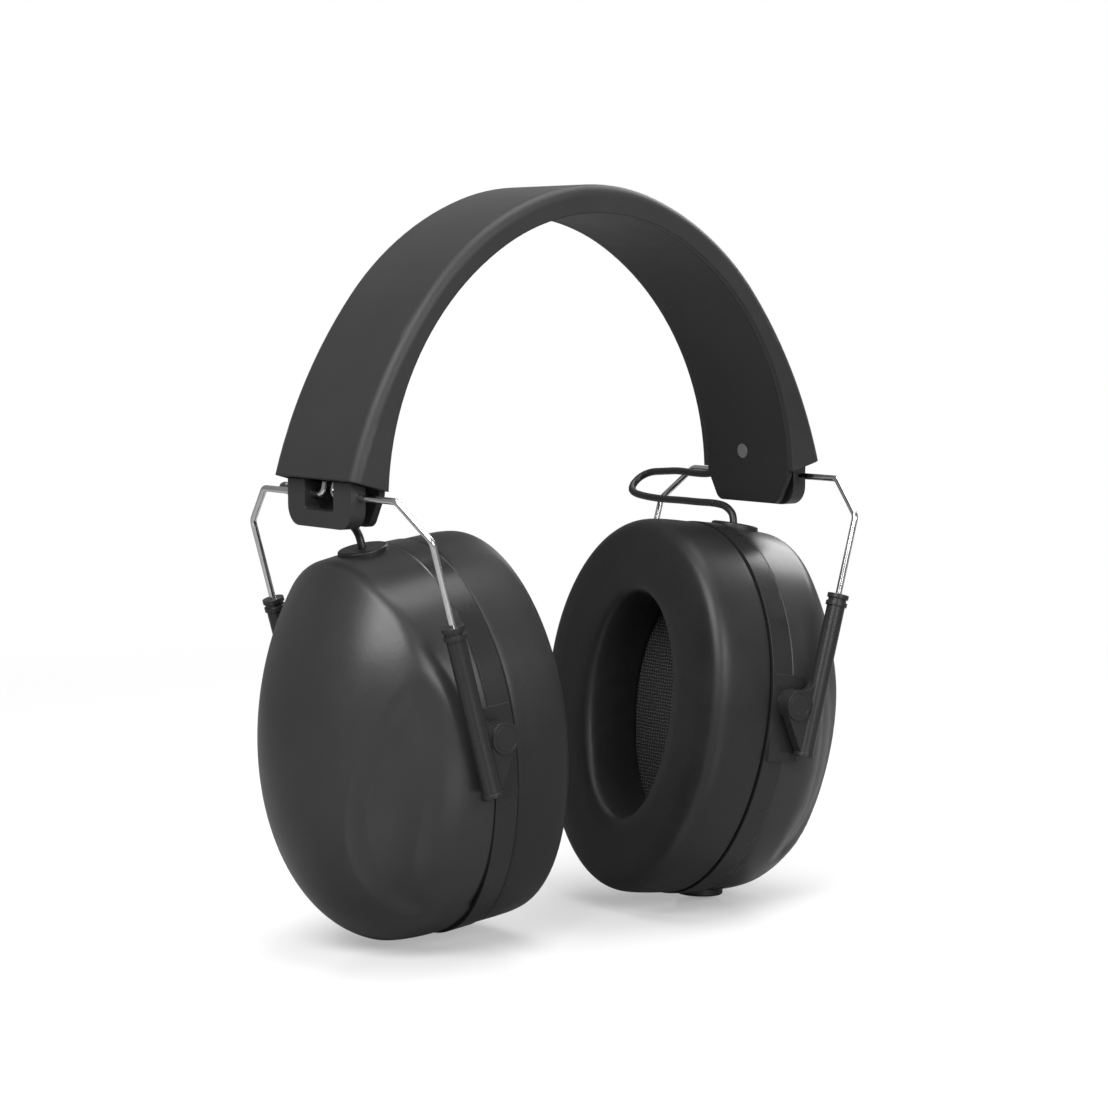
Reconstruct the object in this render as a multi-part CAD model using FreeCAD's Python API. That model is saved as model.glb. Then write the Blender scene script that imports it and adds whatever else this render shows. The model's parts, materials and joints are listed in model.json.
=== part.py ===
import FreeCAD, Part
import math
import os
from FreeCAD import Matrix, Placement, Rotation, Vector

# Earmuffs with a sprung headband, wire yokes and two deep cups that hold a sounder each.
# Millimetres. The origin is the middle of the headband's inner face at the crown.
# +Z is up, +X is the wearer's left and -Y is the wearer's front.

# Clearances, each per side
running_clearance = 0.05
seat_gap = 0.1
soft_gap = 0.3

# How far a cutting tool runs past what it cuts
cutter_reach = 30.0

# Headband arch: tangent arcs from the crown down. A turn is how far an arc's lower end is from level.
# The inner line's crown arc is flatter than the outer one, and its side arc comes down to the flap.
band_width = 40.0
band_rise = 7.9
outer_crown_radius = 60.65
outer_crown_turn = 19.8
outer_middle_radius = 81.6
outer_middle_turn = 51.6
outer_side_radius = 137.65
outer_end_turn = 74.4
inner_crown_growth = 1.6
inner_crown_turn = 30.8
inner_end_turn = 95.0
inner_belly = 0.3
arch_spare_turn = 6.0

# Headband layers
cover_wall = 1.8
cover_rail = 2.0
cover_outer_round = 3.0
liner_thickness = 1.8
strip_width = 21.6
strip_thickness = 0.8
strip_depth = cover_wall + 0.2
strip_short_turn = 4.3

# Liner flap, from the lower end of the cover's outer line
flap_inboard = 11.56
flap_top_up = 0.76
flap_taper_down = 4.24
flap_bottom_down = 12.84
flap_half_width = 17.9
flap_bottom_half_width = 13.0
flap_corner_radius = 3.5

# Side markers on the liner
marker_diameter = 4.4
marker_thickness = 0.5
marker_recess = 0.4
marker_turn = 84.1
marker_y = 2.0

# End brackets, from the lower end of the cover's outer line
hanger_inboard = 5.36
hanger_down = 4.74
bracket_half_width = 15.5
bracket_inboard = 2.46
bracket_thickness = 4.6
bracket_bottom_down = 13.34
bracket_corner_radius = 5.5
window_half_width = 7.0
window_bottom_down = 8.84
window_top_up = 9.26
window_corner_radius = 1.0
tab_half_width = 11.0
tab_thickness = 1.6
tab_depth = strip_depth + strip_thickness + running_clearance
tab_turn = 7.9
tab_root_turn = 0.4
rivet_radius = 1.5
rivet_head_radius = 2.6
rivet_head_height = 0.8
rivet_short_turn = 6.0
rivet_half_spacing = 7.5

# Wire yokes
wire_diameter = 1.8
wire_lean = 15.8
wire_bend_radius = 3.0
shoulder_half_width = 32.3
elbow_above_tube = 22.9
crank_height = 8.5
crank_half_gap = 2.4
crank_lean = 12.0
crank_bend_radius = 1.6

# Sliders
slider_length = 47.0
slider_radius = 2.6
slider_y = 43.8
slider_below_pivot = 13.6
slider_offset = 7.0
slider_floor = 2.0
wire_end_gap = 2.0
flange_radius = 3.05
flange_height = 1.2
flange_groove = 1.0
foot_flange_radius = 2.9
foot_flange_height = 1.0
eye_radius = 4.3
eye_front = 45.6
web_thickness = 2.8
web_setback = 0.6
web_overlap = 0.2
web_start_turn = 50.0
fin_height = 8.3
fin_hollow = 0.9
fin_hollow_shift = 0.4

# Pivots, from the wire's hanger in the bracket
pivot_inboard = 25.3
pivot_down = 62.1
pivot_outboard = 6.4
pivot_up = 5.7
pivot_pin_radius = 1.8
pivot_head_radius = 3.3
pivot_head_height = 1.0
pivot_pin_grip = 3.0

# Cup outline: an egg of two half ellipses that meet where the cup is widest
cup_tilt = 6.93
cup_half_width = 40.85
cup_half_height = 54.4
cup_widest_rise = 4.0

# Ring between the cushion and the shell
ring_start = 0.3
ring_depth = 7.4
ring_rim = 4.5
ring_ledge = 8.0
ring_ledge_start = 5.5
pad_face = 40.7
pad_root = 36.6
pad_start = 0.9
pad_end = 11.5
pad_above_pivot = 8.0
pad_below_pivot = 16.5
pad_clearance = 0.15
boss_radius = 4.1
boss_height = 0.6

# Shell: a drafted wall cut by a leaning dome
shell_wall = 2.4
shell_draft = 5.0
shell_reach = 60.0
dome_centre_out = 4.3
dome_centre_up = 7.9
dome_depth = 41.9
dome_half_height = 63.5
dome_half_width = 41.9
dome_lean = 17.0
dome_edge_round = 3.5
seam_gap = 0.1

# Cushion: how far its outline is drawn in, at depths inward from the seam
cushion_profile = [(0.0, 1.0), (1.5, 0.2), (4.0, 0.0), (9.5, 0.0), (14.7, 0.1), (17.5, 0.8), (19.3, 2.6), (19.9, 5.0)]
opening_half_width = 18.0
opening_half_height = 32.0
opening_widest_rise = 2.0
opening_profile = [(0.0, 0.0), (6.0, 0.0), (12.0, 0.0), (16.8, 0.1), (19.0, 1.2), (19.9, 3.0)]

# Parts clamped behind the cushion
retainer_thickness = 1.0
retainer_inset = 2.5
retainer_rim = 9.0
cloth_thickness = 0.5
cloth_inset = 5.6
foam_thickness = 1.7
baffle_start = 3.0
baffle_inset = 4.6
sounder_flange_radius = 22.0
sounder_flange_height = 1.5
sounder_body_radius = 19.0
sounder_front = 3.4
sounder_magnet_radius = 11.0
sounder_depth = 14.5
sounder_basket_depth = 2.0
sounder_magnet_height = 4.0
sounder_rise = 0.0
screw_radius = 1.1
screw_head_radius = 2.0
screw_head_height = 1.1
screw_inset = 6.8
screw_length = 4.0
screw_hole_floor = 0.2
lining_start = 17.0
lining_end = 30.0
lining_relief = 2.0

# Grommets
grommet_radius = 6.9
grommet_height = 2.2
grommet_sink = 1.3
grommet_shank_radius = 3.0
grommet_shank_length = 5.0
grommet_out = 14.9
gland_out = 15.0
gland_bore_radius = 1.6
grommet_edge_round = 0.6

# Link lead between the cups
lead_diameter = 2.2
lead_clearance = 0.1
lead_depth = 3.2
lead_y = 13.5
lead_short_turn = 9.1
lead_straight = 1.4
lead_bend_share = 0.45


def sine(degrees):
    return math.sin(math.radians(degrees))


def cosine(degrees):
    return math.cos(math.radians(degrees))


def mirrored(shape):
    """The same piece on the wearer's right."""
    return shape.mirror(Vector(0, 0, 0), Vector(1, 0, 0))


def front_to_rear(shape):
    """The same piece on the rear side of a cup."""
    return shape.mirror(Vector(0, 0, 0), Vector(0, 1, 0))


def arch_point(arcs, top, depth, turn):
    """Where a line of tangent arcs has turned by turn from level, moved inward by depth."""
    radius = arcs[0][0]
    x = 0.0
    z = top - radius
    for (before, joint), (after, _) in zip(arcs, arcs[1:]):
        if turn > joint:
            x += (before - after) * sine(joint)
            z += (before - after) * cosine(joint)
            radius = after
    return Vector(x + (radius - depth) * sine(turn), 0, z + (radius - depth) * cosine(turn))


def arch_edges(arcs, top, depth, end_turn):
    """Tangent arcs in the XZ plane, from the right end over the crown to the left end."""
    joints = [joint for _, joint in arcs[:-1]] + [end_turn]
    turns = [-joint for joint in reversed(joints)] + joints

    def on_arch(turn):
        point = arch_point(arcs, top, depth, abs(turn))
        return Vector(math.copysign(point.x, turn), 0, point.z)

    edges = []
    for start, end in zip(turns, turns[1:]):
        arc = Part.Arc(on_arch(start), on_arch((start + end) / 2), on_arch(end))
        edges.append(arc.toShape())
    return edges


def side_point(depth, turn):
    """A point on the wearer's left side of the headband's outer line, moved inward by depth."""
    return arch_point(outer_arcs, band_rise, depth, turn)


# Lines and places that follow from the sizes above
outer_arcs = [
    (outer_crown_radius, outer_crown_turn),
    (outer_middle_radius, outer_middle_turn),
    (outer_side_radius, outer_end_turn),
]
strip_end_turn = outer_end_turn - strip_short_turn
tab_top_turn = outer_end_turn - tab_turn
rivet_turn = outer_end_turn - rivet_short_turn
lead_leaves_turn = outer_end_turn - lead_short_turn
band_end = side_point(0, outer_end_turn)
flap_face = band_end.x - flap_inboard
flap_top = band_end.z + flap_top_up
flap_taper_start = band_end.z - flap_taper_down
flap_bottom = band_end.z - flap_bottom_down
inner_crown_radius = outer_crown_radius + inner_crown_growth
inner_crown_end = inner_crown_radius * sine(inner_crown_turn)
inner_side_radius = (flap_face + inner_belly - inner_crown_end) / (1 - sine(inner_crown_turn))
inner_arcs = [(inner_crown_radius, inner_crown_turn), (inner_side_radius, inner_end_turn)]
bracket_outer_face = band_end.x - bracket_inboard
bracket_inner_face = bracket_outer_face - bracket_thickness
bracket_bottom = band_end.z - bracket_bottom_down
window_bottom = band_end.z - window_bottom_down
window_top = band_end.z + window_top_up
hanger_half_span = band_end.x - hanger_inboard
hanger_drop = hanger_down - band_end.z
pivot_half_span = hanger_half_span - pivot_inboard
pivot_drop = hanger_drop + pivot_down


def outer_arch(depth, end_turn=outer_end_turn):
    """The headband's outer line, moved inward by depth."""
    return arch_edges(outer_arcs, band_rise, depth, end_turn)


def inner_arch(height):
    """The headband's inner line, moved outward by height."""
    return arch_edges(inner_arcs, 0, -height, inner_end_turn)


def ends(edges):
    """First and last point of a chain of edges that runs one way."""
    return edges[0].firstVertex(True).Point, edges[-1].lastVertex(True).Point


def slab(outer, inner, width):
    """A band between two chains of edges, centred on the XZ plane."""
    outer_start, outer_end = ends(outer)
    inner_start, inner_end = ends(inner)
    start_line = Part.LineSegment(outer_start, inner_start).toShape()
    end_line = Part.LineSegment(outer_end, inner_end).toShape()
    loop = Part.Wire(Part.__sortEdges__(outer + inner + [start_line, end_line]))
    solid = Part.Face(loop).extrude(Vector(0, width, 0))
    solid.translate(Vector(0, -width / 2, 0))
    return solid


def side_slab(depth_outer, depth_inner, width, from_turn, to_turn):
    """A band along the wearer's left side arc only."""
    middle = (from_turn + to_turn) / 2
    chains = []
    for depth in (depth_outer, depth_inner):
        arc = Part.Arc(side_point(depth, from_turn), side_point(depth, middle), side_point(depth, to_turn))
        chains.append([arc.toShape()])
    return slab(chains[0], chains[1], width)


def end_block(gap=0.0):
    """Everything below the square-cut end of the cover on the wearer's left."""
    reach = 60.0
    block = Part.makeBox(reach, 2 * reach, reach, Vector(-reach / 2, -reach, -reach - gap))
    block.Placement = Placement(side_point(0, outer_end_turn), Rotation(Vector(0, 1, 0), outer_end_turn - 90))
    return block


def rounded_path(points, radii):
    """Straight runs joined by tangent arcs, with one radius for each inner point."""
    edges = []
    last = points[0]
    for before, corner, after, radius in zip(points, points[1:], points[2:], radii):
        into = (corner - before).normalize()
        out = (after - corner).normalize()
        turn = into.getAngle(out)
        setback = radius * math.tan(turn / 2)
        arc_start = corner - into * setback
        arc_end = corner + out * setback
        bisector = (out - into).normalize()
        arc_middle = corner + bisector * (radius / math.cos(turn / 2) - radius)
        edges.append(Part.LineSegment(last, arc_start).toShape())
        edges.append(Part.Arc(arc_start, arc_middle, arc_end).toShape())
        last = arc_end
    edges.append(Part.LineSegment(last, points[-1]).toShape())
    return Part.Wire(edges)


def tube_along(path, radius, start, direction):
    """A round solid swept along a path."""
    ring = Part.Wire(Part.Circle(start, direction, radius).toShape())
    return path.makePipeShell([ring], True, False)


def cylinder_y(x, z, radius, y_from, y_to):
    """A cylinder along Y."""
    return Part.makeCylinder(radius, y_to - y_from, Vector(x, y_from, z), Vector(0, 1, 0))


def rounded_plate(outline, corner_radii, x_from, x_to):
    """A plate across X whose outline is given in (y, z) with a radius at each corner."""
    points = [Vector(x_from, y, z) for y, z in outline]
    edges = []
    count = len(points)
    joints = []
    for index, radius in enumerate(corner_radii):
        corner = points[index]
        into = (corner - points[index - 1]).normalize()
        out = (points[(index + 1) % count] - corner).normalize()
        turn = into.getAngle(out)
        setback = radius * math.tan(turn / 2)
        middle = corner + (out - into).normalize() * (radius / math.cos(turn / 2) - radius)
        joints.append((corner - into * setback, middle, corner + out * setback, radius))
    for index, (start, middle, end, radius) in enumerate(joints):
        if radius > 0:
            edges.append(Part.Arc(start, middle, end).toShape())
        following = joints[(index + 1) % count][0]
        edges.append(Part.LineSegment(end, following).toShape())
    return Part.Face(Part.Wire(edges)).extrude(Vector(x_to - x_from, 0, 0))


# Headband

def headband_cover():
    spare = outer_end_turn + arch_spare_turn
    body = slab(outer_arch(0, spare), inner_arch(0), band_width)
    body = body.cut(end_block()).cut(mirrored(end_block()))
    outer_edges = []
    for edge in body.Edges:
        along_the_arch = edge.BoundBox.YLength < 0.01 and edge.Length > band_width / 2
        if along_the_arch and is_outer_edge(edge):
            outer_edges.append(edge)
    body = body.makeFillet(cover_outer_round, outer_edges)
    channel_width = band_width - 2 * cover_rail
    channel = slab(outer_arch(cover_wall, spare), inner_arch(-band_rise), channel_width)
    return body.cut(channel)


def is_outer_edge(edge):
    """Whether an edge lies nearer to the arch's outer line than to its inner line."""
    outer = Part.Wire(outer_arch(0, outer_end_turn + arch_spare_turn))
    inner = Part.Wire(inner_arch(0))
    middle = edge.valueAt((edge.FirstParameter + edge.LastParameter) / 2)
    flat = Part.Vertex(middle.x, 0, middle.z)
    return flat.distToShape(outer)[0] < flat.distToShape(inner)[0]


def liner_flap():
    """The flap of the liner that hangs below the cover on the wearer's left."""
    outline = [
        (-flap_half_width, flap_top),
        (-flap_half_width, flap_taper_start),
        (-flap_bottom_half_width, flap_bottom),
        (flap_bottom_half_width, flap_bottom),
        (flap_half_width, flap_taper_start),
        (flap_half_width, flap_top),
    ]
    radii = [0, flap_corner_radius, flap_corner_radius, flap_corner_radius, flap_corner_radius, 0]
    return rounded_plate(outline, radii, flap_face, flap_face + liner_thickness)


def marker_disc(radius, sink, thickness):
    """A short cylinder square to the liner, sunk into its face by sink."""
    face = arch_point(inner_arcs, 0, -sink, marker_turn) + Vector(0, marker_y, 0)
    inward = Vector(-sine(marker_turn), 0, -cosine(marker_turn))
    return Part.makeCylinder(radius, thickness, face, inward)


def headband_liner():
    width = band_width - 2 * cover_rail - 2 * seat_gap
    strip = slab(inner_arch(liner_thickness), inner_arch(0), width)
    body = strip.cut(end_block()).cut(mirrored(end_block()))
    body = body.fuse([liner_flap(), mirrored(liner_flap())]).removeSplitter()
    recess = marker_disc(marker_diameter / 2, marker_recess, marker_recess + 1)
    return body.cut(recess).cut(mirrored(recess))


def side_markers():
    clearance = running_clearance
    disc = marker_disc(marker_diameter / 2 - clearance, marker_recess - clearance, marker_thickness)
    return Part.makeCompound([disc, mirrored(disc)])


def rivet(radius, start_depth, length):
    """A cylinder square to the band, at both rivet places."""
    start = side_point(start_depth, rivet_turn)
    inward = Vector(-sine(rivet_turn), 0, -cosine(rivet_turn))
    places = (-rivet_half_spacing, rivet_half_spacing)
    return [Part.makeCylinder(radius, length, start + Vector(0, y, 0), inward) for y in places]


def spring_strip():
    deep = strip_depth + strip_thickness
    body = slab(outer_arch(strip_depth, strip_end_turn), outer_arch(deep, strip_end_turn), strip_width)
    for hole in rivet(rivet_radius + running_clearance, cover_wall, cutter_reach):
        body = body.cut(hole).cut(mirrored(hole))
    return body


def rivets():
    deep = tab_depth + tab_thickness
    shanks = rivet(rivet_radius, strip_depth, deep - strip_depth + running_clearance)
    heads = rivet(rivet_head_radius, deep + running_clearance, rivet_head_height)
    return Part.makeCompound([shank.fuse(head).removeSplitter() for shank, head in zip(shanks, heads)])


def bracket():
    """Plastic end block that hangs from the strip and carries the yoke wire."""
    top = window_top
    outline = [
        (-bracket_half_width, top),
        (-bracket_half_width, bracket_bottom),
        (bracket_half_width, bracket_bottom),
        (bracket_half_width, top),
    ]
    radii = [0, bracket_corner_radius, bracket_corner_radius, 0]
    block = rounded_plate(outline, radii, bracket_inner_face, bracket_outer_face)
    block = block.common(end_block(seat_gap))
    tab_end_turn = outer_end_turn + tab_root_turn
    tab = side_slab(tab_depth, tab_depth + tab_thickness, 2 * tab_half_width, tab_top_turn, tab_end_turn)
    body = block.fuse(tab).removeSplitter()
    corners = [
        (-window_half_width, window_top),
        (-window_half_width, window_bottom),
        (window_half_width, window_bottom),
        (window_half_width, window_top),
    ]
    from_x = bracket_inner_face - cutter_reach
    window = rounded_plate(corners, [window_corner_radius] * 4, from_x, bracket_outer_face + cutter_reach)
    hole_radius = wire_diameter / 2 + running_clearance
    wire_hole = cylinder_y(hanger_half_span, -hanger_drop, hole_radius, -band_width / 2, band_width / 2)
    body = body.cut(window).cut(wire_hole)
    for hole in rivet(rivet_radius + running_clearance, cover_wall, cutter_reach):
        body = body.cut(hole)
    return body


# Yoke and sliders

def slider_frame(shape):
    """From slider axes (out, y, up the tube), centred on the pivot, to the object's axes."""
    moved = shape.copy()
    moved.Placement = slider_placement().multiply(moved.Placement)
    return moved


def slider_placement():
    return Placement(Vector(pivot_half_span, 0, -pivot_drop), Rotation(Vector(0, 1, 0), wire_lean))


def slider_front():
    bottom = -slider_below_pivot
    top = bottom + slider_length
    centre = Vector(slider_offset, -slider_y, bottom)
    body = Part.makeCylinder(slider_radius, slider_length, centre)
    for height in (slider_length - flange_height, slider_length - 2 * flange_height - flange_groove):
        flange = Part.makeCylinder(flange_radius, flange_height, centre + Vector(0, 0, height))
        body = body.fuse(flange)
    body = body.fuse(Part.makeCylinder(foot_flange_radius, foot_flange_height, centre))
    eye_back = pad_face + boss_height + running_clearance
    body = body.fuse(cylinder_y(0, 0, eye_radius, -eye_front, -eye_back))
    body = body.fuse(slider_web(bottom))
    bore_radius = wire_diameter / 2 + running_clearance
    bore_start = centre + Vector(0, 0, slider_floor)
    body = body.cut(Part.makeCylinder(bore_radius, slider_length, bore_start))
    pin_hole = cylinder_y(0, 0, pivot_pin_radius + running_clearance, -eye_front - 1, -eye_back + 1)
    head_radius = pivot_head_radius + running_clearance
    head_floor = -eye_front + pivot_head_height + running_clearance
    head_hole = cylinder_y(0, 0, head_radius, -eye_front - 1, head_floor)
    return slider_frame(body.cut(pin_hole).cut(head_hole).removeSplitter())


def slider_web(bottom):
    """The triangular web below the eye and the curved fin above it."""
    low = bottom + foot_flange_height
    y = -eye_front + web_setback
    tube_near = slider_offset - slider_radius / 2
    tube_edge = slider_offset - slider_radius + web_overlap
    start = Vector(-eye_radius * sine(web_start_turn), y, -eye_radius * cosine(web_start_turn))
    foot = Vector(tube_edge, y, low)
    inside_low = Vector(tube_near, y, low)
    inside_high = Vector(tube_near, y, fin_height)
    tip = Vector(tube_edge, y, fin_height)
    hollow = Vector(slider_offset / 2 - fin_hollow_shift, y, eye_radius + fin_hollow)
    crest = Vector(0, y, eye_radius)
    edges = [
        Part.LineSegment(start, foot).toShape(),
        Part.LineSegment(foot, inside_low).toShape(),
        Part.LineSegment(inside_low, inside_high).toShape(),
        Part.LineSegment(inside_high, tip).toShape(),
        Part.Arc(tip, hollow, crest).toShape(),
        Part.LineSegment(crest, start).toShape(),
    ]
    return Part.Face(Part.Wire(edges)).extrude(Vector(0, web_thickness, 0))


def yoke_wire():
    """One bent wire: a leg in each slider, two elbows a side and a crank in the bracket's window."""
    bottom = -slider_below_pivot
    placement = slider_placement()
    leg_end = placement.multVec(Vector(slider_offset, 0, bottom + slider_floor + wire_end_gap))
    elbow_up = bottom + slider_length + elbow_above_tube
    elbow = placement.multVec(Vector(slider_offset, 0, elbow_up))
    shoulder = Vector(hanger_half_span, 0, -hanger_drop)
    crank_top = shoulder + Vector(-sine(crank_lean), 0, cosine(crank_lean)) * crank_height
    half = [
        leg_end + Vector(0, -slider_y, 0),
        elbow + Vector(0, -slider_y, 0),
        shoulder + Vector(0, -shoulder_half_width, 0),
        shoulder + Vector(0, -crank_half_gap, 0),
        crank_top + Vector(0, -crank_half_gap, 0),
    ]
    points = half + [Vector(p.x, -p.y, p.z) for p in reversed(half)]
    half_radii = [wire_bend_radius, wire_bend_radius, crank_bend_radius, crank_bend_radius]
    path = rounded_path(points, half_radii + half_radii[::-1])
    return tube_along(path, wire_diameter / 2, points[0], points[1] - points[0])


# Cups. Cup axes are (outboard, y, up the seam plane), centred on the seam.

def cup_placement():
    turn = Rotation(Vector(0, 1, 0), cup_tilt)
    pivot = Vector(pivot_half_span, 0, -pivot_drop)
    return Placement(pivot - turn.multVec(Vector(pivot_outboard, 0, pivot_up)), turn)


def cup_frame(shape):
    moved = shape.copy()
    moved.Placement = cup_placement().multiply(moved.Placement)
    return moved


def egg(out, half_width, half_height, rise):
    """An egg outline across the cup at a distance out from the seam."""
    centre = Vector(out, 0, rise)
    side = Vector(out, half_width, rise)
    quarter = math.pi / 2
    upper = Part.Ellipse(Vector(out, 0, half_height), side, centre)
    lower = Part.Ellipse(Vector(out, 0, half_height + 2 * rise), side, centre)
    edges = [
        Part.ArcOfEllipse(upper, 3 * quarter, 4 * quarter).toShape(),
        Part.ArcOfEllipse(upper, 0, quarter).toShape(),
        Part.ArcOfEllipse(lower, quarter, 2 * quarter).toShape(),
        Part.ArcOfEllipse(lower, 2 * quarter, 3 * quarter).toShape(),
    ]
    return Part.Wire(edges)


def cup_egg(out, inset):
    return egg(out, cup_half_width - inset, cup_half_height - inset, cup_widest_rise)


def cup_prism(out_from, out_to, inset_from, inset_to=None):
    """A solid with the cup's outline, drawn in by the insets at its two ends."""
    inset_to = inset_from if inset_to is None else inset_to
    return Part.makeLoft([cup_egg(out_from, inset_from), cup_egg(out_to, inset_to)], True, True)


def dome(shrink):
    """The leaning ellipsoid that bounds the shell, smaller all round by shrink."""
    long_axis = Vector(-sine(dome_lean), 0, cosine(dome_lean)) * -(dome_half_height - shrink)
    out_axis = Vector(cosine(dome_lean), 0, sine(dome_lean)) * (dome_depth - shrink)
    width = dome_half_width - shrink
    matrix = Matrix(
        long_axis.x, 0, out_axis.x, dome_centre_out,
        0, width, 0, 0,
        long_axis.z, 0, out_axis.z, dome_centre_up,
        0, 0, 0, 1,
    )
    return Part.makeSphere(1.0).transformGeometry(matrix)


def shell_taper(out):
    """How far the drafted wall is drawn in at a distance out from the seam."""
    return (out - ring_depth) * math.tan(math.radians(shell_draft))


def shell_form(shrink, start):
    """The shell's outer form, or its cavity when shrink is the wall."""
    near = shrink + shell_taper(start)
    far = shrink + shell_taper(shell_reach)
    wall = cup_prism(start, shell_reach, near, far)
    return wall.common(dome(shrink))


def pivot_pads(clearance):
    """The flat pads that carry the pivots, front and rear, grown by a clearance."""
    depth = pad_end - pad_start + 2 * clearance
    tall = pad_above_pivot + pad_below_pivot + 2 * clearance
    low = pivot_up - pad_below_pivot - clearance
    corner = Vector(pad_start - clearance, -pad_face - clearance, low)
    front = Part.makeBox(depth, pad_face - pad_root + 2 * clearance, tall, corner)
    return [front, front_to_rear(front)]


def cup_shell():
    start = ring_depth + seam_gap
    outer = shell_form(0, start)
    outer = outer.makeFillet(dome_edge_round, ridge_edges(outer, start))
    body = outer.cut(shell_form(shell_wall, start - 1))
    for pad in pivot_pads(pad_clearance):
        body = body.cut(pad)
    return body


def edge_faces(solid, edge):
    """The faces of a solid that share an edge."""
    return [face for face in solid.Faces if any(edge.isSame(other) for other in face.Edges)]


def ridge_edges(solid, start):
    """The edges outboard of the rim where the drafted wall meets the dome at an angle."""
    chosen = []
    for edge in solid.Edges:
        if edge.BoundBox.XMin < start + 1 or edge.Length < 5:
            continue
        middle = edge.valueAt((edge.FirstParameter + edge.LastParameter) / 2)
        normals = []
        for face in edge_faces(solid, edge):
            u, v = face.Surface.parameter(middle)
            normals.append(face.normalAt(u, v))
        if len(normals) == 2 and normals[0].getAngle(normals[1]) > math.radians(3):
            chosen.append(edge)
    return chosen


def grommet(bore_radius):
    """A flat rubber grommet on its own axis, with its seat at height zero."""
    disc = Part.makeCylinder(grommet_radius, grommet_height)
    top_edge = [edge for edge in disc.Edges if edge.BoundBox.ZMin > grommet_height - 0.01]
    disc = disc.makeFillet(grommet_edge_round, top_edge)
    shank_start = Vector(0, 0, -grommet_shank_length)
    shank = Part.makeCylinder(grommet_shank_radius, grommet_shank_length, shank_start)
    bore = Part.makeCylinder(bore_radius, cutter_reach, Vector(0, 0, -cutter_reach / 2))
    return disc.fuse(shank).removeSplitter().cut(bore)


def grommet_placement(out, side):
    """Where a grommet's seat lies on the top (side 1) or the bottom (side -1) of the shell."""
    lean = shell_draft * side
    height = side * (cup_half_height - shell_taper(out) - grommet_sink)
    turn = Rotation(Vector(0, 1, 0), lean)
    if side < 0:
        turn = turn.multiply(Rotation(Vector(1, 0, 0), 180))
    return Placement(Vector(out, 0, height), turn)


def place(shape, placement):
    moved = shape.copy()
    moved.Placement = placement.multiply(moved.Placement)
    return moved


def grommet_cutter(out, side):
    """The flat seat and the hole for a grommet's shank."""
    seat = Part.makeCylinder(grommet_radius + pad_clearance, cutter_reach)
    hole_start = Vector(0, 0, -cutter_reach / 2)
    hole = Part.makeCylinder(grommet_shank_radius + running_clearance, cutter_reach, hole_start)
    return place(seat.fuse(hole), grommet_placement(out, side))


def cup_ring():
    ring = cup_prism(ring_start, ring_depth, 0).cut(cup_prism(ring_start - 1, ring_ledge_start, ring_rim))
    ring = ring.cut(cup_prism(ring_ledge_start - 1, ring_depth + 1, ring_ledge))
    for pad in pivot_pads(0):
        ring = ring.fuse(pad)
    for y_from, y_to in ((-pad_face - boss_height, -pad_root), (pad_root, pad_face + boss_height)):
        ring = ring.fuse(cylinder_y(pivot_outboard, pivot_up, boss_radius, y_from, y_to))
    ring = ring.removeSplitter()
    grip = pad_face + boss_height - pivot_pin_grip
    for y_from, y_to in ((-eye_front, -grip), (grip, eye_front)):
        ring = ring.cut(cylinder_y(pivot_outboard, pivot_up, pivot_pin_radius, y_from, y_to))
    for hole in baffle_screw_cylinders(screw_radius, ring_ledge_start - 1, ring_depth - screw_hole_floor):
        ring = ring.cut(hole)
    return ring


def pivot_pins():
    grip = pad_face + boss_height - pivot_pin_grip
    head_floor = -eye_front + pivot_head_height
    shaft = cylinder_y(pivot_outboard, pivot_up, pivot_pin_radius, head_floor, -grip)
    head = cylinder_y(pivot_outboard, pivot_up, pivot_head_radius, -eye_front, head_floor)
    pin = shaft.fuse(head).removeSplitter()
    return Part.makeCompound([pin, front_to_rear(pin)])


def cushion():
    """A padded ring whose skin wraps round the outside of its retainer."""
    outer = Part.makeLoft([cup_egg(-depth, inset) for depth, inset in cushion_profile], True, False)
    sections = []
    for depth, growth in opening_profile:
        half_width = opening_half_width + growth
        sections.append(egg(-depth, half_width, opening_half_height + growth, opening_widest_rise))
    body = outer.cut(Part.makeLoft(sections, True, False))
    rebate_floor = retainer_start() - soft_gap
    return body.cut(cup_prism(rebate_floor, ring_start, retainer_inset - soft_gap))


def retainer_start():
    return ring_start - seam_gap - retainer_thickness


def cushion_retainer():
    start = retainer_start()
    end = start + retainer_thickness
    plate = cup_prism(start, end, retainer_inset)
    return plate.cut(cup_prism(start - 1, end + 1, retainer_rim))


def ear_cloth():
    start = ring_start
    return cup_prism(start, start + cloth_thickness, cloth_inset)


def ear_foam():
    start = ring_start + cloth_thickness + seam_gap
    return cup_prism(start, start + foam_thickness, cloth_inset)


def baffle():
    plate = cup_prism(baffle_start, ring_ledge_start - running_clearance, baffle_inset)
    centre = Vector(baffle_start - 1, 0, sounder_rise)
    opening_radius = sounder_body_radius + running_clearance
    opening = Part.makeCylinder(opening_radius, cutter_reach, centre, Vector(1, 0, 0))
    plate = plate.cut(opening)
    for head, shank in zip(*baffle_screw_holes(running_clearance)):
        plate = plate.cut(head).cut(shank)
    return plate


def baffle_screw_places():
    """Four places on the ledge, evenly spread round the egg."""
    places = []
    half_width = cup_half_width - screw_inset
    for turn in (45, 135, 225, 315):
        rise = -cup_widest_rise if sine(turn) > 0 else cup_widest_rise
        half_height = cup_half_height - screw_inset + rise
        places.append((half_width * cosine(turn), cup_widest_rise + half_height * sine(turn)))
    return places


def baffle_screw_cylinders(radius, out_from, out_to):
    length = out_to - out_from
    places = baffle_screw_places()
    return [Part.makeCylinder(radius, length, Vector(out_from, y, z), Vector(1, 0, 0)) for y, z in places]


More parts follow.
